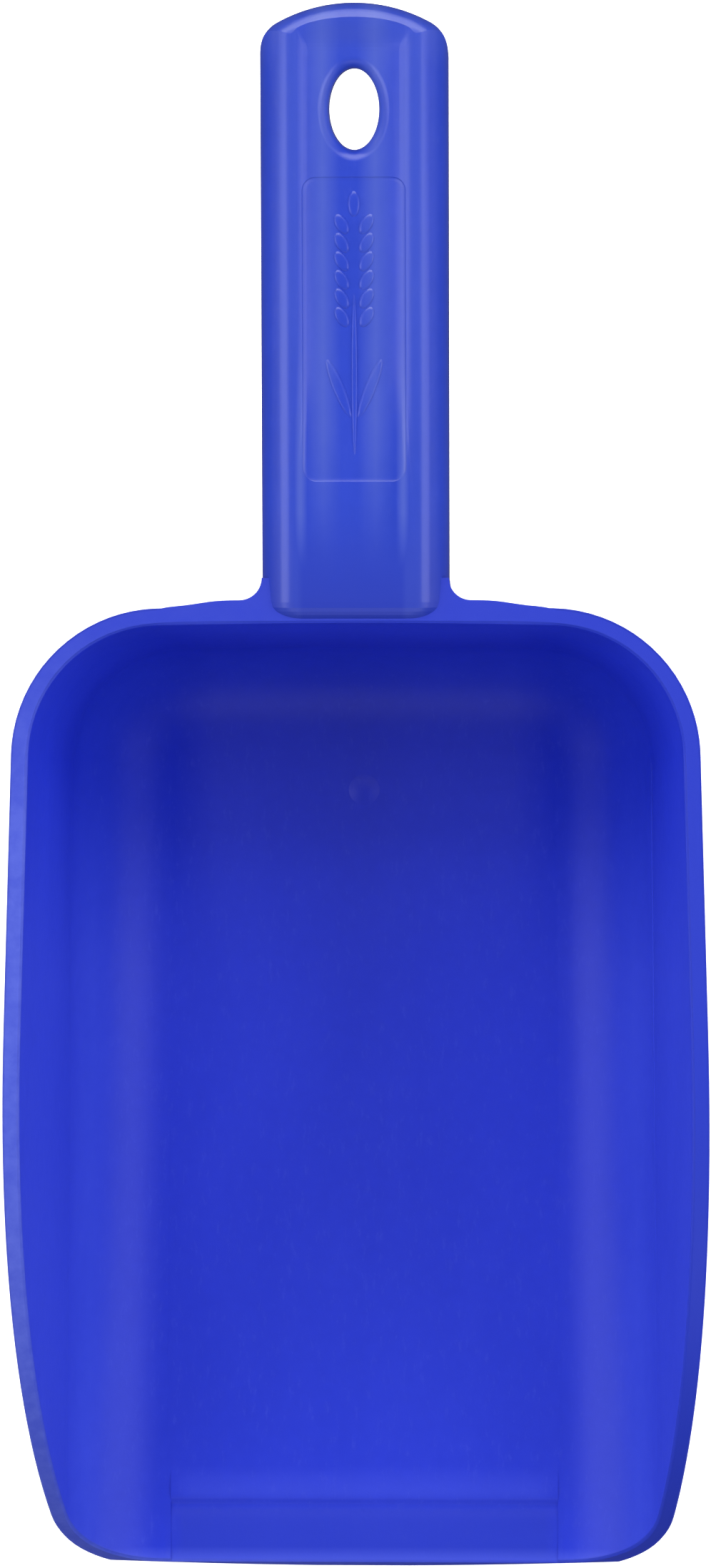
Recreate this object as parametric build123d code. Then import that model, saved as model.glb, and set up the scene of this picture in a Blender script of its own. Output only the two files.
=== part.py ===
from build123d import *
import math
import os

# Feed scoop: a one-piece polypropylene moulding, written as the regions it is made of.
# Millimetres. X is the width, +Y runs to the handle, -Y to the lip, +Z is up.
# The origin is the centre of the flat base the scoop stands on.

# Bowl
RIM_HEIGHT = 62.0
WALL = 3.0
BASE_HALF_BACK = 54.8       # half width at the base plane, corners not rounded, at the back
BASE_FLARE = 0.11           # degrees, each side, toward the lip
SIDE_DRAFT_BACK = 5.95      # degrees off vertical at the back corners
SIDE_DRAFT_LIP = 10.05      # degrees off vertical at the lip
BACK_TOP_Y = 96.35          # outer face of the back wall at the rim
BACK_DRAFT = 4.5            # degrees off vertical
BACK_BOW = 1.1              # the back wall bulges this far toward the handle
CORNER_BASE = 22.8          # plan radius of the back corners at the base plane
CORNER_TOP = 27.0           # and at the rim
FLOOR_FILLET = 21.0         # outside radius between walls and base
LIP_Y = -82.5
SWEEP_RADIUS = 118.0        # the rim drops from its flat part to the lip on this arc
SWEEP_START_Y = 20.75
LIP_BOW = 1.0               # the lip's middle stands this far ahead of its ends
LIP_LAND = 1.2              # the rim's arc starts at this height on the blunt front edge
RIM_CHAMFER = 0.4
GATE_MARK_Y = 64.4
GATE_MARK_DIAMETER = 5.8
GATE_MARK_HEIGHT = 0.4

# Front lip, a slightly hollowed strip of the floor
LIP_HALF = 36.6
LIP_BACK_Y = -63.5
LIP_CREST_Y = -68.9
LIP_STEP_Y = -70.5
LIP_BEVEL_Y = -73.0         # the underside is relieved ahead of this line
LIP_BEVEL = 0.5

# Handle; local axes: u along the handle, w out of its top
TILT = 6.0                  # degrees, rising to the end
ROOT_Y = 94.45              # where the handle's top skin ends, rounded down into the rim
ROOT_RISE = 1.3             # crest of the handle over the rim at the root
ROOT_ROUND = 3.2            # the top skin's end is rounded down on this radius
HANDLE_END_Y = 204.5
HANDLE_HALF = 16.8
SHOULDER = 5.85             # radius of the two long edges
GROOVE_ANGLE = 17.5         # degrees, steepest slope of the thumb groove, just inside the crests
GROOVE_FLATTEN = 0.6        # slope beyond the groove's corner, as a share of the steepest
GROOVE_CORNER = 9.0         # radius of that corner
GROOVE_START = 12.0         # along u: groove begins to open
GROOVE_FULL = 46.0          # groove has its full depth
END_RADIUS = 28.5
END_CORNER = 6.0
GROOVE_CLOSE = 9.0          # the groove runs out over this length at the free end
END_ROUND = 3.2
SKIN = 2.9
SIDE_WALL = 2.6
DEPTH_ROOT = 15.0           # handle height at the root
DEPTH_END = 11.5            # and at the end
TONGUE_CORNER = 3.6
HOLE_HALF_X = 4.5
HOLE_HALF_U = 7.2
HOLE_FROM_END = 19.2
HOLE_ROUND = 2.2
EYE_RIM = 2.6               # width of the thickened ring round the hole
EYE_DEPTH = 8.0
PANEL_HALF_X = 9.3
PANEL_START = 25.2
PANEL_END = 79.5
PANEL_CORNER = 2.5
PANEL_SINK = 0.3
RIB = 1.6

# Yoke, the thickened band of the back wall that carries the handle
YOKE_HALF = 36.5
YOKE_BACK_Y = 98.5
YOKE_DEPTH = 17.0
YOKE_FILLET = 4.0

HANDLE_LENGTH = (HANDLE_END_Y - ROOT_Y) / math.cos(math.radians(TILT))
HANDLE_PLANE = Plane(
    origin=(0, ROOT_Y, RIM_HEIGHT + ROOT_RISE),
    x_dir=(1, 0, 0),
    z_dir=(0, -math.sin(math.radians(TILT)), math.cos(math.radians(TILT))),
)


def polygon(points, plane=Plane.XY):
    return plane * make_face(Polyline(*points, close=True).edges())


def tan_deg(angle):
    return math.tan(math.radians(angle))


def sin_deg(angle):
    return math.sin(math.radians(angle))


def cos_deg(angle):
    return math.cos(math.radians(angle))


# ---------------------------------------------------------------- bowl


def bowl_outline(z, inset):
    """Plan outline of the bowl at height z, moved inward by the wall thickness."""
    front_y = LIP_Y - 12.0
    back_y = BACK_TOP_Y - (RIM_HEIGHT - z) * tan_deg(BACK_DRAFT) - inset
    corner = CORNER_BASE + (CORNER_TOP - CORNER_BASE) * z / RIM_HEIGHT - inset
    length = BACK_TOP_Y - front_y
    draft_front = SIDE_DRAFT_LIP + (SIDE_DRAFT_LIP - SIDE_DRAFT_BACK) * 12.0 / 170.0
    half_back = BASE_HALF_BACK + z * tan_deg(SIDE_DRAFT_BACK) - inset
    half_front = BASE_HALF_BACK + length * tan_deg(BASE_FLARE) + z * tan_deg(draft_front) - inset
    left = Line((-half_front, front_y), (-half_back, back_y))
    right = Line((half_back, back_y), (half_front, front_y))
    back = ThreePointArc((-half_back, back_y), (0, back_y + BACK_BOW), (half_back, back_y))
    front = Line((half_front, front_y), (-half_front, front_y))
    face = make_face([left, back, right, front])
    corners = face.vertices().sort_by(Axis.Y)[-2:]
    return Pos(0, 0, z) * fillet(corners, corner)


def bowl_solid(inset, bottom, top):
    """The bowl as a full body from z bottom to z top with its lower edge rounded."""
    body = loft([bowl_outline(bottom, inset), bowl_outline(top, inset)], ruled=True)
    front_y = LIP_Y - 12.0
    low = body.edges().group_by(Axis.Z)[0]
    low = [e for e in low if e.center().Y > front_y + 1.0]
    return fillet(low, FLOOR_FILLET - inset)


def sweep_cut():
    """Everything over the rim line as seen from the side."""
    low_z = LIP_LAND
    centre_z = RIM_HEIGHT - SWEEP_RADIUS
    run = math.sqrt(SWEEP_RADIUS**2 - (low_z - centre_z) ** 2)
    lip_y = SWEEP_START_Y - run
    half = math.acos((low_z - centre_z) / SWEEP_RADIUS) / 2
    middle = (
        SWEEP_START_Y - SWEEP_RADIUS * math.sin(half),
        centre_z + SWEEP_RADIUS * math.cos(half),
    )
    side = Plane.YZ
    edges = [
        ThreePointArc((SWEEP_START_Y, RIM_HEIGHT), middle, (lip_y, low_z)),
        Polyline((lip_y, low_z), (lip_y, -5), (-130, -5), (-130, 90), (SWEEP_START_Y, 90)),
        Line((SWEEP_START_Y, 90), (SWEEP_START_Y, RIM_HEIGHT)),
    ]
    return extrude(side * make_face(edges), amount=90, both=True)


def lip_front():
    """Plan body that ends in the slightly bowed line of the lip."""
    half = 45.0
    radius = half**2 / (2 * LIP_BOW)
    centre_y = LIP_Y + radius
    return Pos(0, centre_y, 0) * Cylinder(radius, 200, align=(Align.CENTER,) * 3)


def lip_bevel():
    """Wedge taken off the underside ahead of the base."""
    slope = LIP_BEVEL / (LIP_BEVEL_Y - LIP_Y)
    far = 12.0
    points = [
        (LIP_BEVEL_Y + 1.0, -1.0),
        (LIP_BEVEL_Y, 0.0),
        (LIP_BEVEL_Y - far, far * slope),
        (LIP_BEVEL_Y - far, -1.0),
    ]
    return extrude(polygon(points, Plane.YZ), amount=90, both=True)


def on_rim(point):
    """True on the flat of the rim and on its falling arc."""
    if point.Y > SWEEP_START_Y:
        return abs(point.Z - RIM_HEIGHT) < 0.01
    distance = math.hypot(point.Y - SWEEP_START_Y, point.Z - RIM_HEIGHT + SWEEP_RADIUS)
    return abs(distance - SWEEP_RADIUS) < 0.01


def rim_edges(part):
    """The edges of the rim face, without the lines across it; the yoke closes the one it covers."""
    edges = [e for e in part.edges() if e.length > 4.0]
    return [e for e in edges if all(on_rim(e @ t) for t in (0.02, 0.5, 0.98))]


def gate_mark():
    """The low round bump that the moulding gate leaves on the floor."""
    half = GATE_MARK_DIAMETER / 2
    radius = (half**2 + GATE_MARK_HEIGHT**2) / (2 * GATE_MARK_HEIGHT)
    ball = Pos(0, GATE_MARK_Y, WALL + GATE_MARK_HEIGHT - radius) * Sphere(radius)
    column = Pos(0, GATE_MARK_Y, WALL) * Cylinder(half + 1.0, 2.0)
    return ball & column


def make_bowl_shell(outer):
    shell = outer - bowl_solid(WALL, WALL, RIM_HEIGHT)
    shell = shell - sweep_cut() - lip_bevel()
    shell = shell & lip_front()
    shell = chamfer(rim_edges(shell), RIM_CHAMFER)
    length = LIP_BACK_Y - LIP_Y + 5.0
    centre_y = LIP_BACK_Y - length / 2
    notch = Pos(0, centre_y, 0) * Box(2 * LIP_HALF, length, 20)
    return shell - notch + gate_mark()


def make_front_lip():
    """Strip of floor between the side fillets: rises, steps down, then runs out to the edge."""
    front_y = LIP_Y - 1.0
    top = Spline(
        (LIP_BACK_Y, WALL),
        (LIP_CREST_Y, WALL + 0.18),
        (LIP_CREST_Y - 0.8, WALL + 0.02),
        (LIP_STEP_Y, WALL - 0.38),
        (LIP_STEP_Y - 1.8, WALL - 0.30),
        (LIP_STEP_Y - 4.4, WALL - 0.10),
        (LIP_STEP_Y - 7.4, WALL - 0.12),
        (front_y, WALL - 0.30),
        tangents=((-1, 0), (-1, 0)),
    )
    rest = Polyline((front_y, WALL - 0.30), (front_y, 0), (LIP_BACK_Y, 0), (LIP_BACK_Y, WALL))
    profile = Plane.YZ.offset(-LIP_HALF) * make_face([top, rest])
    strip = extrude(profile, amount=2 * LIP_HALF)
    strip = strip - sweep_cut() - lip_bevel()
    strip = strip & lip_front()
    lowest = [e for e in rim_edges(strip) if (e @ 0.5).Z < WALL - 0.8]
    return chamfer(lowest, RIM_CHAMFER)


# -------------------------------------------------------------- handle


def section_plane(u):
    """Plane across the handle at u: local x is X, local y is out of the handle's top."""
    along = HANDLE_PLANE.y_dir
    return Plane(
        origin=HANDLE_PLANE.from_local_coords((0, u, 0)),
        x_dir=(1, 0, 0),
        z_dir=(-along.X, -along.Y, -along.Z),
    )


def smooth_step(value, start, end):
    t = min(max((value - start) / (end - start), 0.0), 1.0)
    return t * t * (3 - 2 * t)


def groove_angle(u):
    """Steepest slope of the thumb groove at u; it opens after the root and closes at the end."""
    opening = smooth_step(u, GROOVE_START, GROOVE_FULL)
    closing = 1 - smooth_step(u, HANDLE_LENGTH - GROOVE_CLOSE, HANDLE_LENGTH - 2.0)
    return max(GROOVE_ANGLE * opening * closing, 0.3)


def handle_depth(u):
    return DEPTH_ROOT + (DEPTH_END - DEPTH_ROOT) * u / HANDLE_LENGTH


def rounding(distance, radius):
    """How far a quarter-round edge has dropped at this distance from the edge."""
    rest = max(radius - distance, 0.0)
    return radius - math.sqrt(radius**2 - rest**2)


def on_corner(start, angle, slope):
    """Point of the groove's corner arc where its slope has eased from angle to slope."""
    inward = GROOVE_CORNER * (sin_deg(angle) - sin_deg(slope))
    drop = GROOVE_CORNER * (cos_deg(slope) - cos_deg(angle))
    return (start[0] - inward, start[1] - drop)


def mirrored(point):
    return (-point[0], point[1])


def handle_section(u):
    """Closed section: two crests with a shallow groove between them, straight sides."""
    angle = groove_angle(u)
    half = HANDLE_HALF - rounding(u, TONGUE_CORNER)
    top = -rounding(u, ROOT_ROUND)
    crest_x = half - SHOULDER
    shoulder_w = top - SHOULDER
    flat = angle * GROOVE_FLATTEN
    middle = (angle + flat) / 2
    join = (crest_x - SHOULDER * sin_deg(angle), shoulder_w + SHOULDER * cos_deg(angle))
    turn = on_corner(join, angle, middle)
    foot = on_corner(join, angle, flat)
    sag = foot[0] * tan_deg(flat / 2)
    half_turn = (90 + angle) / 2
    bulge = (
        crest_x + SHOULDER * cos_deg(half_turn),
        shoulder_w + SHOULDER * sin_deg(half_turn),
    )
    low = -handle_depth(u)
    edges = [
        ThreePointArc((half, shoulder_w), bulge, join),
        ThreePointArc(join, turn, foot),
        ThreePointArc(foot, (0, foot[1] - sag), mirrored(foot)),
        ThreePointArc(mirrored(foot), mirrored(turn), mirrored(join)),
        ThreePointArc(mirrored(join), mirrored(bulge), (-half, shoulder_w)),
        Line((-half, shoulder_w), (-half, low)),
        Line((-half, low), (half, low)),
        Line((half, low), (half, shoulder_w)),
    ]
    return section_plane(u) * make_face(edges)


def handle_outline(inset, start_y):
    """Plan outline of the handle, moved inward by inset; its free end is an arc."""
    half = HANDLE_HALF - inset
    radius = END_RADIUS - inset
    centre_y = HANDLE_END_Y - END_RADIUS
    side_y = centre_y + math.sqrt(radius**2 - half**2)
    edges = [
        Polyline((-half, side_y), (-half, start_y), (half, start_y), (half, side_y)),
        ThreePointArc((half, side_y), (0, centre_y + radius), (-half, side_y)),
    ]
    face = make_face(edges)
    corners = [v for v in face.vertices() if v.Y > start_y + 1.0]
    return fillet(corners, END_CORNER)


def handle_body():
    """The handle's outside as one full body, rounded at the root and at its free end."""
    root = [0.0, 0.15, 0.4, 0.8, 1.3, 1.9, 2.6, 3.6]
    step = (GROOVE_FULL - GROOVE_START) / 12
    opening = [GROOVE_START + step * i for i in range(13)]
    closing = [HANDLE_LENGTH - GROOVE_CLOSE * (1 - i / 12) for i in range(13)]
    stations = root + opening + closing + [HANDLE_LENGTH + 3.0]
    body = loft([handle_section(u) for u in stations], ruled=True)
    return body & rounded_end()


def rounded_end():
    """Column on the handle's plan outline, its top edge rolled over at the free end."""
    column = extrude(handle_outline(0.0, ROOT_Y - 4.0), amount=120)
    column = split(column, bisect_by=HANDLE_PLANE.offset(0.01), keep=Keep.BOTTOM)
    high = column.faces().sort_by(Axis(HANDLE_PLANE.origin, HANDLE_PLANE.z_dir))[-1]
    end_y = HANDLE_END_Y - END_RADIUS / 2
    return fillet([e for e in high.edges() if e.center().Y > end_y], END_ROUND)


def handle_hollow():
    """The space under the handle's top skin, open below."""
    face = handle_outline(SIDE_WALL, ROOT_Y - 6.0)
    block = extrude(face, amount=120)
    top = HANDLE_PLANE.offset(-SKIN - 1.5)
    block = split(block, bisect_by=top, keep=Keep.BOTTOM)
    high = block.faces().sort_by(Axis(HANDLE_PLANE.origin, HANDLE_PLANE.z_dir))[-1]
    return fillet(high.edges(), 2.0)


def eye_centre():
    return HANDLE_PLANE * Pos(0, HANDLE_LENGTH - HOLE_FROM_END, 0)


def eye_prism(grow):
    """Elliptic column through the handle, square to its top."""
    face = Ellipse(HOLE_HALF_X + grow, HOLE_HALF_U + grow)
    return eye_centre() * extrude(Pos(0, 0, -20) * face, amount=40)


def panel_centre():
    return HANDLE_PLANE * Pos(0, (PANEL_START + PANEL_END) / 2, 0)


def panel_prism():
    face = RectangleRounded(2 * PANEL_HALF_X, PANEL_END - PANEL_START, PANEL_CORNER)
    return panel_centre() * extrude(Pos(0, 0, -20) * face, amount=40)


def make_hang_eye(body):
    """Ring that lines the hang hole, thicker than the skin, with a rolled upper edge."""
    floor = HANDLE_PLANE * Pos(0, HANDLE_LENGTH - HOLE_FROM_END, -EYE_DEPTH)
    above = floor * Box(40, 40, 30, align=(Align.CENTER, Align.CENTER, Align.MIN))
    ring = (body & eye_prism(EYE_RIM) & above) - eye_prism(0.0)
    top_edges = [e for e in ring.edges() if on_hole_top(e)]
    return fillet(top_edges, HOLE_ROUND)


def on_hole_top(edge):
    for t in (0.05, 0.35, 0.65, 0.95):
        point = eye_centre().inverse() * Pos(*(edge @ t))
        x, u, w = point.position
        on_wall = abs((x / HOLE_HALF_X) ** 2 + (u / HOLE_HALF_U) ** 2 - 1) < 0.01
        if not on_wall or w < -3.0:
            return False
    return True


def wheat_ear():
    """Plain wheat-ear device as thin columns: stem, two leaves, paired grains."""
    marks = [Pos(0, -8.0, 0) * Rectangle(0.9, 29.0)]
    for i in range(6):
        grain = Ellipse(1.05, 1.95)
        for side in (-1, 1):
            marks.append(Pos(side * 2.0, 2.2 + 3.3 * i, 0) * Rot(0, 0, -30 * side) * grain)
    marks.append(Pos(0, 22.3, 0) * Ellipse(1.05, 2.3))
    for side in (-1, 1):
        leaf = Ellipse(0.9, 5.6)
        marks.append(Pos(side * 2.5, -10.5, 0) * Rot(0, 0, -22 * side) * leaf)
    outline = marks[0].fuse(*marks[1:])
    return panel_centre() * extrude(Pos(0, 0, -20) * outline, amount=40)


def make_label_panel(body, hollow):
    """Sunk panel in the thumb groove; the device on it stands level with the groove."""
    sunk = Pos(0, 0, -PANEL_SINK) * body
    prism = panel_prism()
    plate = prism & sunk
    device = prism & body & wheat_ear()
    return (plate + device) - hollow


def make_handle_ribs(body, hollow):
    """A spine and cross ribs that stiffen the open channel of the handle."""
    length = HANDLE_LENGTH - 4.0
    raised = Pos(0, 0, 1.2) * body
    boxes = [HANDLE_PLANE * Pos(0, length / 2, -15) * Box(RIB, length, 30)]
    for i in range(5):
        u = 17.0 + 15.5 * i
        boxes.append(HANDLE_PLANE * Pos(0, u, -15) * Box(40, RIB, 30))
    ribs = boxes[0].fuse(*boxes[1:])
    return (ribs & hollow & raised) - eye_prism(EYE_RIM)


def make_yoke(shell):
    """Thickened band of the back wall; its ends fade out, its middle curves into the handle."""
    root_x = HANDLE_HALF + YOKE_FILLET
    root_y = YOKE_BACK_Y + YOKE_FILLET
    bend = YOKE_FILLET * (1 - cos_deg(45))
    edges = []
    for side in (-1, 1):
        fade = Spline(
            (side * YOKE_HALF, YOKE_BACK_Y - 2.2),
            (side * 31.0, YOKE_BACK_Y - 0.95),
            (side * 25.6, YOKE_BACK_Y - 0.2),
            (side * root_x, YOKE_BACK_Y),
            tangents=((-side * 0.8, 0.6), (-side, 0)),
        )
        corner = ThreePointArc(
            (side * root_x, YOKE_BACK_Y),
            (side * (HANDLE_HALF + bend), YOKE_BACK_Y + bend),
            (side * HANDLE_HALF, root_y),
        )
        edges += [fade, corner]
    left = (-HANDLE_HALF, root_y)
    right = (HANDLE_HALF, root_y)
    inner = HANDLE_HALF - SIDE_WALL
    step = [(-inner, root_y), (-inner, YOKE_BACK_Y), (inner, YOKE_BACK_Y), (inner, root_y)]
    edges.append(Polyline(left, *step, right))
    end_y = YOKE_BACK_Y - 2.2
    inside_y = BACK_TOP_Y - 1.0
    front = [(-YOKE_HALF, inside_y), (YOKE_HALF, inside_y)]
    edges.append(Polyline((-YOKE_HALF, end_y), *front, (YOKE_HALF, end_y)))
    band = Pos(0, 0, RIM_HEIGHT - YOKE_DEPTH) * extrude(make_face(edges), amount=YOKE_DEPTH)
    return band - shell


def make_handle_shell(body, hollow, outer, yoke):
    shell = body - hollow - outer - yoke
    shell = shell - eye_prism(EYE_RIM) - panel_prism()
    return shell


def main():
    outer = bowl_solid(0.0, 0.0, RIM_HEIGHT)
    body = handle_body()
    hollow = handle_hollow()
    shell = make_bowl_shell(outer)
    yoke = make_yoke(shell)
    eye = make_hang_eye(body)
    parts = {
        "bowl_shell": shell,
        "front_lip": make_front_lip(),
        "handle_yoke": yoke,
        "handle_shell": make_handle_shell(body, hollow, outer, yoke),
        "hang_eye": eye,
        "label_panel": make_label_panel(body, hollow),
        "handle_ribs": make_handle_ribs(body, hollow) - outer - yoke,
    }
    os.makedirs("parts", exist_ok=True)
    for name, part in parts.items():
        box = part.bounding_box()
        print(name, round(part.volume), len(part.solids()), part.is_valid, box)
        export_step(part, f"parts/{name}.step")


if __name__ == "__main__":
    main()
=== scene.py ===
import math

import bmesh
import bpy
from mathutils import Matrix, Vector


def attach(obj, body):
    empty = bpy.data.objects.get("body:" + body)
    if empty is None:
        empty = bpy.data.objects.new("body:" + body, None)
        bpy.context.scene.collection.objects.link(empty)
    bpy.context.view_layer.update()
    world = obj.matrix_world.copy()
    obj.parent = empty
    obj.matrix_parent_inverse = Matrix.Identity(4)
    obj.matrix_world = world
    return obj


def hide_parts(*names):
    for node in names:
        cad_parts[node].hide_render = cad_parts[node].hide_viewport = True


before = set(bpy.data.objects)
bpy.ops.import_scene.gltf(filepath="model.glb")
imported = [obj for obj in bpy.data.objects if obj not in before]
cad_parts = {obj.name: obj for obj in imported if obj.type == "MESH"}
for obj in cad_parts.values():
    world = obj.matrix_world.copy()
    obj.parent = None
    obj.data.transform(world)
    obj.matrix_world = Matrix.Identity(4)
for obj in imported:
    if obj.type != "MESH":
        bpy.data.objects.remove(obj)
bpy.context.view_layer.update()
scene = bpy.context.scene

# Metres in the CAD frame: X is the width, +Y runs to the handle, -Y to the lip, +Z is up.

# ------------------------------------------------------------ node helpers


class Graph:
    """Small helper that adds nodes to a tree and links them."""

    def __init__(self, name):
        self.material = bpy.data.materials.new(name)
        self.material.use_nodes = True
        self.tree = self.material.node_tree
        self.tree.nodes.clear()

    def add(self, kind, **values):
        node = self.tree.nodes.new(kind)
        for key, value in values.items():
            setattr(node, key, value)
        return node

    def link(self, out, into):
        self.tree.links.new(out, into)

    def put(self, into, value):
        if hasattr(value, "is_output"):
            self.link(value, into)
        else:
            into.default_value = value

    def noise(self, vector, scale, detail=3.0, rough=0.5, distortion=0.0):
        node = self.add("ShaderNodeTexNoise")
        self.link(vector, node.inputs["Vector"])
        node.inputs["Scale"].default_value = scale
        node.inputs["Detail"].default_value = detail
        node.inputs["Roughness"].default_value = rough
        node.inputs["Distortion"].default_value = distortion
        return node.outputs["Fac"]

    def remap(self, value, low, high, to_low, to_high):
        node = self.add("ShaderNodeMapRange")
        node.clamp = True
        self.put(node.inputs["Value"], value)
        node.inputs["From Min"].default_value = low
        node.inputs["From Max"].default_value = high
        node.inputs["To Min"].default_value = to_low
        node.inputs["To Max"].default_value = to_high
        return node.outputs["Result"]

    def math(self, operation, a, b=0.0):
        node = self.add("ShaderNodeMath", operation=operation)
        self.put(node.inputs[0], a)
        self.put(node.inputs[1], b)
        return node.outputs[0]

    def product(self, value, *others):
        for other in others:
            value = self.math("MULTIPLY", value, other)
        return value

    def off(self, value, centre):
        """How far the value lies from the centre, on either side of it."""
        return self.math("ABSOLUTE", self.math("SUBTRACT", value, centre))

    def mix(self, factor, a, b):
        node = self.add("ShaderNodeMix", data_type="RGBA")
        self.put(node.inputs["Factor"], factor)
        self.put(node.inputs["A"], a)
        self.put(node.inputs["B"], b)
        return node.outputs["Result"]

    def axes(self, place):
        """The point's X, Y and Z."""
        node = self.add("ShaderNodeSeparateXYZ")
        self.link(place, node.inputs["Vector"])
        return node.outputs["X"], node.outputs["Y"], node.outputs["Z"]


# ------------------------------------------------------------ worn places and painted light of the bowl

# A pair of lengths is the span over which a mask fades in or out (metres).
TONE_SPAN = (0.35, 0.65)    # where the noises have most of their values

# The rim's line: flat at RIM_HEIGHT, then an arc that falls to the lip.
RIM_HEIGHT = 0.062
RIM_ARC_RADIUS = 0.118
RIM_ARC_START = 0.02075
RIM_FACE_DEPTH = (0.0001, 0.0011)
# Painted shade laid over the rim face and over the strip ahead of the lip's step.
RIM_PAINTED_SHADE = (0.017, 0.036, 0.46, 1.0)
RIM_HAZE = (0.078, 0.112, 0.58, 1.0)
RIM_RUB = 0.95
RIM_RUB_PATCHES = (0.65, 1.0)
RIM_RUB_X = (-0.06, 0.06)
RIM_RUB_Y = (0.055, 0.095)
RIM_RUB_BACK = 0.2          # share of the rubbing that is left at the back

# Front lip: painted highlight on the crest of its step and on its front edge, painted shade on
# the strip ahead of the step.
LIP_STEP_Y = (-0.0700, -0.0686)
LIP_CREST_Y = (-0.0679, -0.0635)
LIP_CREST_X = (0.032, 0.037)
LIP_CREST_HIGHLIGHT = 0.20
LIP_EDGE_Y = (-0.0815, -0.0787)
LIP_EDGE_HIGHLIGHT = 0.65
LIP_STRIP_X = (0.034, 0.038)
LIP_STRIP_Y = (-0.0720, -0.0700)
LIP_STRIP_SHARE = 0.7

# Painted sheen on the side walls: a paler, whiter tone, weaker toward the back.
WALL_SHEEN_Z = (0.0030, 0.010)
WALL_SHEEN_Y = (0.030, 0.070)
WALL_SHEEN_BACK = 0.2
WALL_SHEEN_STRENGTH = (0.32, 0.42)

# Fine dust in the two back corners.
DUST_X = (0.028, 0.036)
DUST_Y = (0.030, 0.062)
DUST_Z = (0.040, 0.055)
DUST_SHINE = 0.3            # share of the shine that the dust leaves


def rim_masks(g, place):
    """The bowl's rim face, which gets painted shade, and where the rim is worn pale: least at the
    back and on the +X side.
    """
    x, y, z = g.axes(place)
    ahead = g.math("MINIMUM", g.math("SUBTRACT", y, RIM_ARC_START), 0.0)
    fall = g.math("SUBTRACT", RIM_ARC_RADIUS**2, g.math("MULTIPLY", ahead, ahead))
    rim = g.math("ADD", g.math("SQRT", fall), RIM_HEIGHT - RIM_ARC_RADIUS)
    face = g.remap(g.math("SUBTRACT", rim, z), *RIM_FACE_DEPTH, 1.0, 0.0)
    across = g.remap(x, *RIM_RUB_X, 1.0, 0.0)
    along = g.remap(y, *RIM_RUB_Y, 1.0, RIM_RUB_BACK)
    return face, g.product(face, across, along)


def lip_highlight_mask(g, place):
    """Painted highlight on the front lip: along the crest of its step and on its front edge."""
    x, y, _ = g.axes(place)
    rise = g.remap(y, *LIP_CREST_Y, 1.0, 0.0)
    fall = g.remap(y, *LIP_STEP_Y, 0.0, 1.0)
    across = g.remap(g.math("ABSOLUTE", x), *LIP_CREST_X, LIP_CREST_HIGHLIGHT, 0.0)
    edge = g.remap(y, *LIP_EDGE_Y, LIP_EDGE_HIGHLIGHT, 0.0)
    return g.math("ADD", g.product(across, rise, fall), edge)


def lip_strip_shade_mask(g, place):
    """The strip of the front lip ahead of its step, which lies a little deeper; it gets painted
    shade.
    """
    x, y, _ = g.axes(place)
    across = g.remap(g.math("ABSOLUTE", x), *LIP_STRIP_X, LIP_STRIP_SHARE, 0.0)
    return g.product(across, g.remap(y, *LIP_STRIP_Y, 1.0, 0.0))


def painted_wall_sheen_mask(g, place):
    """Where painted sheen pales the side walls."""
    _, y, z = g.axes(place)
    return g.product(g.remap(z, *WALL_SHEEN_Z, 0.0, 1.0), g.remap(y, *WALL_SHEEN_Y, 1.0, WALL_SHEEN_BACK))


def corner_dust_mask(g, place):
    """The dust in the back corners, which takes the shine off them."""
    x, y, z = g.axes(place)
    across = g.remap(g.math("ABSOLUTE", x), *DUST_X, 0.0, 1.0)
    return g.product(across, g.remap(y, *DUST_Y, 0.0, 1.0), g.remap(z, *DUST_Z, 1.0, 0.0))


def bowl_wear_and_painted_light(g, place, tone, mottle, colour, haze):
    """Lays the bowl's painted sheen, painted shade and painted highlight, and its worn rim, over
    its colour.
    """
    # Painted sheen on the side walls, patchy with the tone noise.
    wall_sheen = g.product(painted_wall_sheen_mask(g, place), g.remap(tone, *TONE_SPAN, *WALL_SHEEN_STRENGTH))
    colour = g.mix(wall_sheen, colour, haze)
    # Painted shade on the strip ahead of the lip's step.
    colour = g.mix(lip_strip_shade_mask(g, place), colour, RIM_PAINTED_SHADE)
    # Painted highlight on the lip's crest and front edge.
    colour = g.mix(lip_highlight_mask(g, place), colour, haze)
    face, rubbing_and_reflection = rim_masks(g, place)
    # Painted shade: the whole rim face is darkened.
    colour = g.mix(face, colour, RIM_PAINTED_SHADE)
    worn = g.product(rubbing_and_reflection, g.remap(mottle, *TONE_SPAN, *RIM_RUB_PATCHES), RIM_RUB)
    return g.mix(worn, colour, RIM_HAZE)


# ------------------------------------------------------------ painted light of the handle

# Two soft bands of painted reflection inside the thumb groove.
GROOVE_MIDDLE = -0.0009
GROOVE_BAND_X = 0.0047
GROOVE_BAND_HALF = 0.0032
GROOVE_BAND_Y = (0.102, 0.128)
GROOVE_REFLECTION = 0.95
GROOVE_REFLECTION_PATCHES = (0.8, 1.0)

# Painted highlight on the long crests, the groove's edges near the bowl, and the free end.
GRIP_MIDDLE = -0.0005
CREST_X = 0.0112
CREST_FADE = (0.0014, 0.0024)
CREST_HIGHLIGHT = 0.40
CREST_Y = (0.115, 0.155)
CREST_ROOT = 0.5            # share of the painted highlight that is left near the bowl
EDGE_X = 0.0092
EDGE_FADE = (0.0002, 0.0013)
EDGE_START_Y = (0.104, 0.114)
EDGE_STOP_Y = (0.125, 0.145)
EDGE_FAR = 0.3              # share of the painted highlight that is left toward the end
END_Y = (0.192, 0.199)
END_HIGHLIGHT = 0.30
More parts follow.
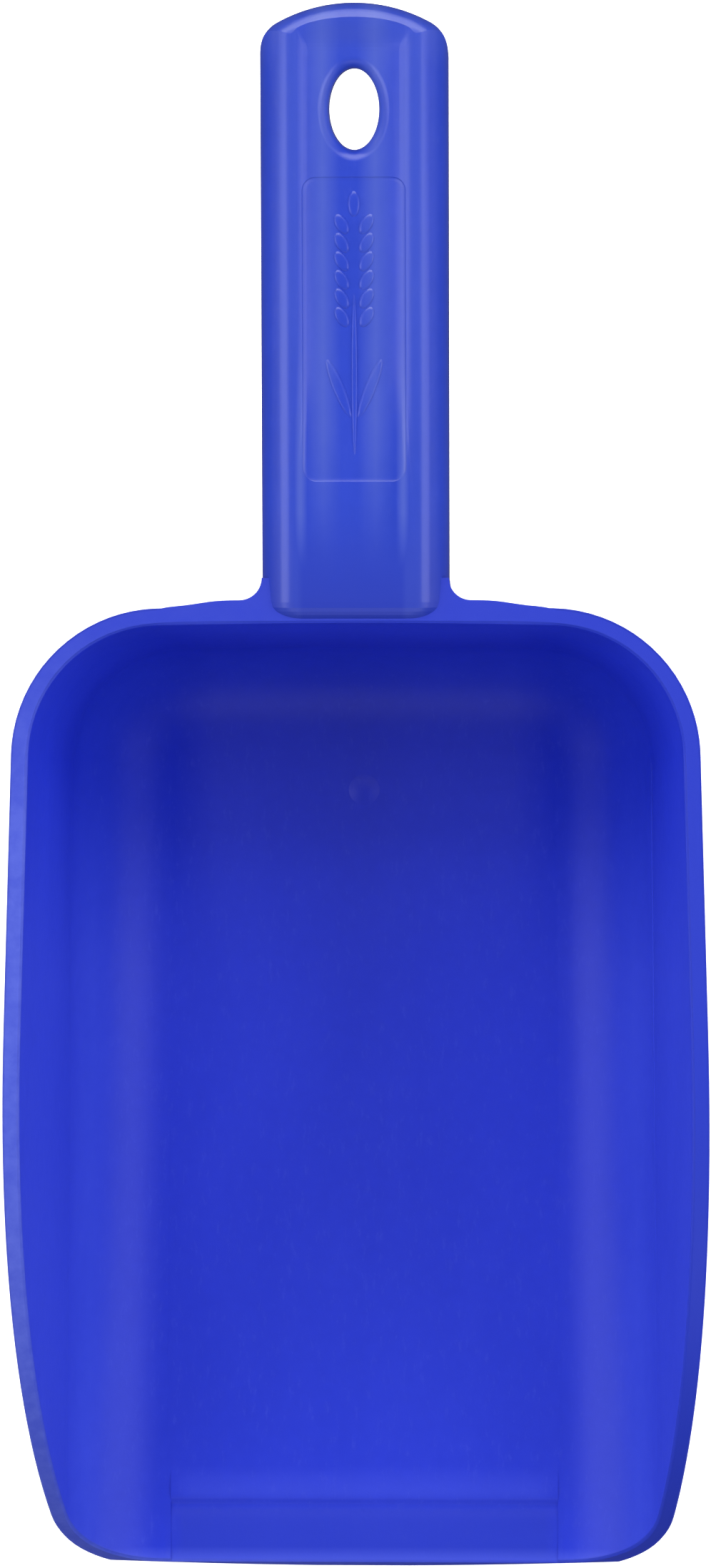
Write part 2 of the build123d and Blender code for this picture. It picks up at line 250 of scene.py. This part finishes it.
# Painted shade: the handle's root, next to the bowl, is darkened.
ROOT_Y = (0.098, 0.116)
ROOT_PAINTED_SHADE = (0.021, 0.041, 0.390, 1.0)


def groove_reflection_mask(g, place):
    """Two soft bands of painted reflection in the thumb groove."""
    x, y, _ = g.axes(place)
    off_band = g.off(g.off(x, GROOVE_MIDDLE), GROOVE_BAND_X)
    band = g.remap(off_band, 0.0, GROOVE_BAND_HALF, 1.0, 0.0)
    return g.product(band, g.remap(y, *GROOVE_BAND_Y, 0.0, 1.0))


def grip_highlight_mask(g, place):
    """Painted highlight on the grip: its long crests, the groove's edges, its end."""
    x, y, _ = g.axes(place)
    across = g.off(x, GRIP_MIDDLE)
    crest = g.remap(g.off(across, CREST_X), *CREST_FADE, CREST_HIGHLIGHT, 0.0)
    crest = g.product(crest, g.remap(y, *CREST_Y, CREST_ROOT, 1.0))
    edge = g.remap(g.off(across, EDGE_X), *EDGE_FADE, 1.0, 0.0)
    start = g.remap(y, *EDGE_START_Y, 0.0, 1.0)
    edge = g.product(edge, start, g.remap(y, *EDGE_STOP_Y, 1.0, EDGE_FAR))
    end = g.remap(y, *END_Y, 0.0, END_HIGHLIGHT)
    return g.math("MAXIMUM", g.math("MAXIMUM", crest, edge), end)


def grip_painted_light(g, place, tone, mottle, colour, haze):
    """Lays the handle's painted reflection and painted highlight over its colour, and the painted
    shade of its root.
    """
    # Painted reflection: two pale bands in the thumb groove.
    rubbing_and_reflection = g.product(groove_reflection_mask(g, place), g.remap(tone, *TONE_SPAN, *GROOVE_REFLECTION_PATCHES))
    colour = g.mix(g.product(rubbing_and_reflection, GROOVE_REFLECTION), colour, haze)
    _, y, _ = g.axes(place)
    # Painted shade at the handle's root.
    colour = g.mix(g.remap(y, *ROOT_Y, 1.0, 0.0), colour, ROOT_PAINTED_SHADE)
    # Painted highlight on the crests, the groove's edges and the free end.
    return g.mix(grip_highlight_mask(g, place), colour, haze)


# ------------------------------------------------------------ plastics

FLOW_STRETCH = (1.0, 0.3, 1.0)      # flow marks and scuffs run along Y
MOTTLE_SCALE = 380.0
FINE_SCALE = 2400.0
SCUFF_SCALE = 1100.0
FLOW_SHARE = 0.65
MOTTLE_SHARE = 0.35
MARK_SPAN = (0.36, 0.64)
SCUFF_SPAN = (0.56, 0.72)
SCUFF_ROUGH_SPAN = (0.35, 0.7)
SCUFF_ROUGH = (-0.01, 0.03)         # added to the roughness
FLOW_ROUGH_SPAN = (0.3, 0.7)
FLOW_ROUGH = (-0.01, 0.02)
FINE_BUMP = 0.5
MOTTLE_BUMP = 0.7
PLASTIC_IOR = 1.49


def plastic(name, base, light, haze, roughness, grain, level, flow_scale, scuffs, wear_and_painted_light, dusty):
    """Dyed polypropylene: flow marks and mottle, fine mould grain, scuffs, worn places and
    painted light.

    base and light are the two tones of the flow marks, haze the tone of scuffed places and of
    painted sheen, highlight and reflection;
    grain is the bump's height in metres, scuffs how far haze covers the base; wear lays the
    bowl's or the handle's worn places and painted light, and dusty says whether the corner dust
    dulls the shine.
    """
    g = Graph(name)
    place = g.add("ShaderNodeTexCoord").outputs["Object"]
    stretch = g.add("ShaderNodeMapping")
    stretch.inputs["Scale"].default_value = FLOW_STRETCH
    g.link(place, stretch.inputs["Vector"])
    flow = g.noise(stretch.outputs["Vector"], flow_scale, 4.0, 0.55, 0.5)
    mottle = g.noise(place, MOTTLE_SCALE, 3.0, 0.6)
    fine = g.noise(place, FINE_SCALE, 2.0, 0.6)
    scuff = g.noise(stretch.outputs["Vector"], SCUFF_SCALE, 6.0, 0.7)
    tone = g.math("ADD", g.product(flow, FLOW_SHARE), g.product(mottle, MOTTLE_SHARE))
    colour = g.mix(g.remap(tone, *MARK_SPAN, 0.0, 1.0), base, light)
    colour = g.mix(g.remap(scuff, *SCUFF_SPAN, 0.0, scuffs), colour, haze)
    colour = wear_and_painted_light(g, place, tone, mottle, colour, haze)

    shader = g.add("ShaderNodeBsdfPrincipled")
    g.link(colour, shader.inputs["Base Color"])
    scuffed = g.remap(scuff, *SCUFF_ROUGH_SPAN, *SCUFF_ROUGH)
    rough = g.math("ADD", scuffed, g.remap(flow, *FLOW_ROUGH_SPAN, *FLOW_ROUGH))
    g.link(g.math("ADD", rough, roughness), shader.inputs["Roughness"])
    shader.inputs["IOR"].default_value = PLASTIC_IOR
    shine = shader.inputs["Specular IOR Level"]
    if dusty:
        g.link(g.remap(corner_dust_mask(g, place), 0.0, 1.0, level, DUST_SHINE * level), shine)
    else:
        shine.default_value = level
    bump = g.add("ShaderNodeBump")
    bump.inputs["Strength"].default_value = 1.0
    bump.inputs["Distance"].default_value = grain
    height = g.math("ADD", g.product(fine, FINE_BUMP), g.product(mottle, MOTTLE_BUMP))
    g.link(height, bump.inputs["Height"])
    g.link(bump.outputs["Normal"], shader.inputs["Normal"])
    out = g.add("ShaderNodeOutputMaterial")
    g.link(shader.outputs["BSDF"], out.inputs["Surface"])
    return g.material


bowl_plastic = plastic(
    "bowl_plastic",
    base=(0.013, 0.032, 0.54, 1.0),
    light=(0.016, 0.037, 0.58, 1.0),
    haze=(0.070, 0.105, 0.68, 1.0),
    roughness=0.38,
    grain=0.00002,
    level=0.30,
    flow_scale=38.0,
    scuffs=0.2,
    wear_and_painted_light=bowl_wear_and_painted_light,
    dusty=True,
)
# The handle's tones are darker than the bowl's, though both are one plastic: painted shade for
# the raised handle, which is lit more than the inside of the bowl.
handle_plastic = plastic(
    "handle_plastic",
    base=(0.020, 0.048, 0.440, 1.0),
    light=(0.023, 0.053, 0.480, 1.0),
    haze=(0.062, 0.098, 0.48, 1.0),
    roughness=0.22,
    grain=0.000005,
    level=0.5,
    flow_scale=90.0,
    scuffs=0.12,
    wear_and_painted_light=grip_painted_light,
    dusty=False,
)

BOWL_NODES = ("bowl_shell", "front_lip", "handle_yoke")
for name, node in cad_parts.items():
    material = bowl_plastic if name in BOWL_NODES else handle_plastic
    if not node.data.materials:
        node.data.materials.append(material)
    for index in range(len(node.material_slots)):
        node.material_slots[index].material = material

# ------------------------------------------------------------ label panel

# The handle's frame: u runs along it, w out of its top (metres, degrees).
HANDLE_TILT = math.radians(6.0)
HANDLE_ROOT = Vector((0.0, 0.09445, 0.0633))
HANDLE_ALONG = Vector((0.0, math.cos(HANDLE_TILT), math.sin(HANDLE_TILT)))
HANDLE_OUT = Vector((0.0, -math.sin(HANDLE_TILT), math.cos(HANDLE_TILT)))
HANDLE_HALF = 0.0168
SHOULDER = 0.00585
GROOVE_ANGLE = 17.5
GROOVE_LEAST_ANGLE = 0.3
GROOVE_FLATTEN = 0.6
GROOVE_CORNER = 0.009
GROOVE_START = 0.012
GROOVE_FULL = 0.046
PANEL_HALF_X = 0.0093
PANEL_START = 0.0252
PANEL_END = 0.0795
PANEL_MIDDLE = (PANEL_START + PANEL_END) / 2
PANEL_CORNER = 0.0025
PANEL_LEAST_CORNER = 0.0004
PANEL_SINK = 0.00015
PANEL_UNDERSIDE = -0.00439

# The panel's border: how far in from its outline, and how far over the groove (metres).
PANEL_BORDER = (
    (-0.00015, -0.00010),
    (0.0, -0.00001),
    (0.00004, -0.00002),
    (0.00013, -0.00013),
    (0.00018, -PANEL_SINK),
)
FIELD_START = 0.0009
FIELD_STEP = 0.0012
FIELD_STEPS = 7

# The panel's outline in steps: each quarter circle, each end and each side.
CORNER_STEPS = 8
END_STEPS = 12
SIDE_STEPS = 36

# A raised mark's rings: share of its half sizes, and how far over the panel (metres).
DOME_HEIGHT = 0.00022
DOME_RINGS = (
    (1.06, -0.00006),
    (1.0, 0.0),
    (0.93, 0.55 * DOME_HEIGHT),
    (0.8, 0.85 * DOME_HEIGHT),
    (0.5, DOME_HEIGHT),
)
DOME_STEPS = 32

# The wheat ear's marks: (half width, half length), place (metres) and turn (degrees).
STEM = (0.00055, 0.0145)
STEM_U = PANEL_MIDDLE - 0.008
LEAF = (0.0010, 0.0056)
LEAF_X = 0.0028
LEAF_U = PANEL_MIDDLE - 0.0105
LEAF_TURN = 22.0
GRAIN = (0.0011, 0.0020)
GRAIN_X = 0.0022
GRAIN_U = PANEL_MIDDLE + 0.0022     # the lowest pair
GRAIN_GAP = 0.0033
GRAIN_PAIRS = 6
GRAIN_TURN = 30.0
TOP_GRAIN = (0.0011, 0.0023)
TOP_GRAIN_U = PANEL_MIDDLE + 0.0223

JOIN_DISTANCE = 0.00001


def groove_height(x, u):
    """Height w of the thumb groove's surface over the handle's top plane."""
    part = min(max((u - GROOVE_START) / (GROOVE_FULL - GROOVE_START), 0.0), 1.0)
    angle = math.radians(max(GROOVE_ANGLE * part * part * (3 - 2 * part), GROOVE_LEAST_ANGLE))
    flat = angle * GROOVE_FLATTEN
    crest_x = HANDLE_HALF - SHOULDER
    join_x = crest_x - SHOULDER * math.sin(angle)
    if abs(x) > join_x:
        return math.sqrt(SHOULDER**2 - (abs(x) - crest_x) ** 2) - SHOULDER
    corner_x = join_x - GROOVE_CORNER * math.sin(angle)
    corner_w = SHOULDER * (math.cos(angle) - 1) + GROOVE_CORNER * math.cos(angle)
    foot_x = corner_x + GROOVE_CORNER * math.sin(flat)
    if abs(x) > foot_x:
        return corner_w - math.sqrt(GROOVE_CORNER**2 - (abs(x) - corner_x) ** 2)
    foot_w = corner_w - GROOVE_CORNER * math.cos(flat)
    radius = foot_x / math.sin(flat)
    return foot_w + radius * math.cos(flat) - math.sqrt(radius**2 - x**2)


def on_handle(x, u, w):
    """Point in the handle's frame."""
    return HANDLE_ROOT + Vector((x, 0, 0)) + HANDLE_ALONG * u + HANDLE_OUT * w


def on_groove(x, u, level):
    """Point this far over the groove's surface."""
    return on_handle(x, u, groove_height(x, u) + level)


def panel_outline(inset):
    """Points (x, u) of the panel's rounded outline, moved inward; always the same number."""
    half_x = max(PANEL_HALF_X - inset, 0.0)
    half_u = (PANEL_END - PANEL_START) / 2 - inset
    corner = min(max(PANEL_CORNER - inset, PANEL_LEAST_CORNER), half_x)
    points = []
    for quarter in range(4):
        sign_x = 1 if quarter in (0, 3) else -1
        sign_u = 1 if quarter in (0, 1) else -1
        turn_x = sign_x * (half_x - corner)
        turn_u = sign_u * (half_u - corner)
        for step in range(CORNER_STEPS + 1):
            angle = math.radians(90 * quarter + 90 * step / CORNER_STEPS)
            x = turn_x + corner * math.cos(angle)
            points.append((x, PANEL_MIDDLE + turn_u + corner * math.sin(angle)))
        steps = END_STEPS if quarter in (0, 2) else SIDE_STEPS
        end = points[-1]
        along_x = -2 * turn_x if quarter in (0, 2) else 0.0
        along_u = -2 * turn_u if quarter in (1, 3) else 0.0
        for step in range(1, steps):
            points.append((end[0] + along_x * step / steps, end[1] + along_u * step / steps))
    return points


def add_rings(bm, rings):
    """Joins closed rings of points with quads and returns the rings of vertices."""
    made = [[bm.verts.new(point) for point in ring] for ring in rings]
    for low, high in zip(made, made[1:]):
        for i in range(len(low)):
            j = (i + 1) % len(low)
            bm.faces.new((low[i], low[j], high[j], high[i]))
    return made


def add_plate(bm):
    """The sunk plate: its border slopes down from the groove, its field follows the groove."""
    field = [FIELD_START + FIELD_STEP * i for i in range(FIELD_STEPS)] + [PANEL_HALF_X]
    steps = list(PANEL_BORDER) + [(inset, -PANEL_SINK) for inset in field]
    rings = [[on_handle(x, u, PANEL_UNDERSIDE) for x, u in panel_outline(PANEL_BORDER[0][0])]]
    for inset, level in steps:
        rings.append([on_groove(x, u, level) for x, u in panel_outline(inset)])
    made = add_rings(bm, rings)
    bm.faces.new(reversed(made[0]))


def add_dome(bm, x, u, half_sizes, turn):
    """One raised mark of the device: a closed ellipse with steep flanks and a crowned top."""
    half_x, half_u = half_sizes
    angle = math.radians(turn)
    rings = []
    for share, rise in DOME_RINGS:
        ring = []
        for step in range(DOME_STEPS):
            round_angle = 2 * math.pi * step / DOME_STEPS
            across = half_x * share * math.cos(round_angle)
            along = half_u * share * math.sin(round_angle)
            turned_x = x + across * math.cos(angle) - along * math.sin(angle)
            turned_u = u + across * math.sin(angle) + along * math.cos(angle)
            ring.append(on_groove(turned_x, turned_u, rise - PANEL_SINK))
        rings.append(ring)
    made = add_rings(bm, rings)
    bm.faces.new(reversed(made[0]))
    bm.faces.new(made[-1])


def add_wheat_ear(bm):
    """Plain wheat-ear device: stem, two leaves and paired grains."""
    add_dome(bm, 0.0, STEM_U, STEM, 0.0)
    for side in (-1, 1):
        add_dome(bm, side * LEAF_X, LEAF_U, LEAF, -LEAF_TURN * side)
        for i in range(GRAIN_PAIRS):
            add_dome(bm, side * GRAIN_X, GRAIN_U + GRAIN_GAP * i, GRAIN, -GRAIN_TURN * side)
    add_dome(bm, 0.0, TOP_GRAIN_U, TOP_GRAIN, 0.0)


def make_label_panel():
    """Label panel with its sloped border and the raised device."""
    bm = bmesh.new()
    add_plate(bm)
    bmesh.ops.remove_doubles(bm, verts=bm.verts, dist=JOIN_DISTANCE)
    add_wheat_ear(bm)
    bmesh.ops.recalc_face_normals(bm, faces=bm.faces)
    for face in bm.faces:
        face.smooth = len(face.verts) <= DOME_STEPS     # all but the plate's flat underside
    mesh = bpy.data.meshes.new("label_panel_relief")
    bm.to_mesh(mesh)
    bm.free()
    mesh.materials.append(handle_plastic)
    panel = bpy.data.objects.new("label_panel_relief", mesh)
    scene.collection.objects.link(panel)
    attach(panel, "root")
    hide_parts("label_panel")


make_label_panel()

# ------------------------------------------------------------ floor and light

PAPER_WHITE = (0.90, 0.90, 0.90, 1.0)
PAPER_GLOW = 0.75
WHITE = (1.0, 1.0, 1.0, 1.0)
SKY_STRENGTH = 0.12

# The floor is round and sweeps up into a wall (metres).
FLOOR_RADIUS = 8.0
FLOOR_FLAT = 4.0
FLOOR_BEND = 2.0
FLOOR_WALL = 6.0
FLOOR_DROP = 0.0002         # it lies this far under the scoop
FLOOR_TURNS = 64
BEND_STEPS = 8


def studio_paper():
    """White paper with a little glow of its own, so that it stays pale far from the lamps."""
    g = Graph("studio_paper")
    paper = g.add("ShaderNodeBsdfDiffuse")
    paper.inputs["Color"].default_value = PAPER_WHITE
    glow = g.add("ShaderNodeEmission")
    glow.inputs["Color"].default_value = WHITE
    glow.inputs["Strength"].default_value = PAPER_GLOW
    both = g.add("ShaderNodeAddShader")
    g.link(paper.outputs["BSDF"], both.inputs[0])
    g.link(glow.outputs["Emission"], both.inputs[1])
    out = g.add("ShaderNodeOutputMaterial")
    g.link(both.outputs["Shader"], out.inputs["Surface"])
    return g.material


def make_floor():
    """Round paper floor that sweeps up into a wall far from the scoop; it lights nothing."""
    profile = [(FLOOR_FLAT, -FLOOR_DROP)]
    for step in range(BEND_STEPS + 1):
        angle = math.radians(90 * step / BEND_STEPS)
        reach = FLOOR_RADIUS - FLOOR_BEND + FLOOR_BEND * math.sin(angle)
        profile.append((reach, FLOOR_BEND * (1 - math.cos(angle)) - FLOOR_DROP))
    profile.append((FLOOR_RADIUS, FLOOR_WALL))
    turns = [2 * math.pi * step / FLOOR_TURNS for step in range(FLOOR_TURNS)]
    rings = []
    for reach, height in profile:
        rings.append([(reach * math.cos(turn), reach * math.sin(turn), height) for turn in turns])
    bm = bmesh.new()
    made = add_rings(bm, rings)
    bm.faces.new(made[0])
    bmesh.ops.recalc_face_normals(bm, faces=bm.faces)
    for face in bm.faces:
        face.smooth = True
    mesh = bpy.data.meshes.new("studio_floor")
    bm.to_mesh(mesh)
    bm.free()
    mesh.materials.append(studio_paper())
    floor = bpy.data.objects.new("studio_floor", mesh)
    scene.collection.objects.link(floor)
    floor.visible_glossy = False
    floor.visible_diffuse = False


make_floor()

world = bpy.data.worlds.new("studio")
scene.world = world
world.use_nodes = True
world.node_tree.nodes["Background"].inputs["Color"].default_value = WHITE
world.node_tree.nodes["Background"].inputs["Strength"].default_value = SKY_STRENGTH


def softbox(name, location, target, width, height, power, lights="all"):
    """Rectangular lamp; lights says whether it adds to matt tones, to gloss, or to all."""
    data = bpy.data.lights.new(name, "AREA")
    data.shape = "RECTANGLE"
    data.size = width
    data.size_y = height
    data.energy = power
    lamp = bpy.data.objects.new(name, data)
    lamp.location = location
    aim = Vector(target) - Vector(location)
    lamp.rotation_euler = aim.to_track_quat("-Z", "Y").to_euler()
    lamp.visible_glossy = lights != "matt"
    lamp.visible_diffuse = lights != "gloss"
    scene.collection.objects.link(lamp)


# Where the lamps point (metres). Each lamp: place, target, width, height, power in watts.
CENTRE = (0.0, 0.02, 0.04)
MID_GRIP = (0.0, 0.12, 0.07)
GRIP_END = (0.0, 0.19, 0.07)
softbox("key_low", (0.0, 0.95, 0.95), CENTRE, 1.2, 0.5, 6.4)
softbox("key_high", (0.0, 0.62, 1.10), CENTRE, 1.2, 0.5, 3.8)
softbox("end_gloss", (0.0, 1.12, 0.60), GRIP_END, 0.9, 0.40, 3.1, "gloss")
softbox("front_fill", (0.0, -0.85, 0.90), CENTRE, 1.2, 0.5, 2.8, "matt")
softbox("front_gloss", (0.0, -1.03, 0.76), CENTRE, 1.0, 0.70, 1.1, "gloss")
for side in (-1, 1):
    softbox(f"wall_fill_{side}", (1.15 * side, 0.0, 0.62), CENTRE, 1.8, 0.8, 14.2, "matt")
    softbox(f"side_fill_{side}", (0.70 * side, 0.0, 1.08), CENTRE, 0.9, 0.30, 1.1, "matt")
    softbox(f"side_gloss_{side}", (0.70 * side, -0.10, 1.10), MID_GRIP, 0.44, 0.62, 2.0, "gloss")

# ------------------------------------------------------------ camera

CAMERA_DISTANCE = 1.10      # over the rim, so that VIEW_HEIGHT of it fills the frame
VIEW_HEIGHT = 0.2812
CAMERA_AIM = Vector((0.0, 0.0655, 0.044))
CAMERA_SIDE = 0.032         # the photo was taken from a little to the right
SENSOR = 36.0               # millimetres


def make_camera():
    """Camera above the scoop that looks down at the photo's slight sideways angle."""
    place = Vector((CAMERA_SIDE, CAMERA_AIM.y, RIM_HEIGHT + CAMERA_DISTANCE))
    data = bpy.data.cameras.new("camera")
    data.sensor_width = SENSOR
    data.lens = SENSOR * CAMERA_DISTANCE / VIEW_HEIGHT
    data.clip_start = 0.01
    data.clip_end = 20.0
    camera = bpy.data.objects.new("camera", data)
    camera.location = place
    tilt = math.atan2(place.x - CAMERA_AIM.x, place.z - CAMERA_AIM.z)
    camera.rotation_euler = (0.0, tilt, 0.0)
    scene.collection.objects.link(camera)
    scene.camera = camera


make_camera()
scene.view_settings.view_transform = "Standard"
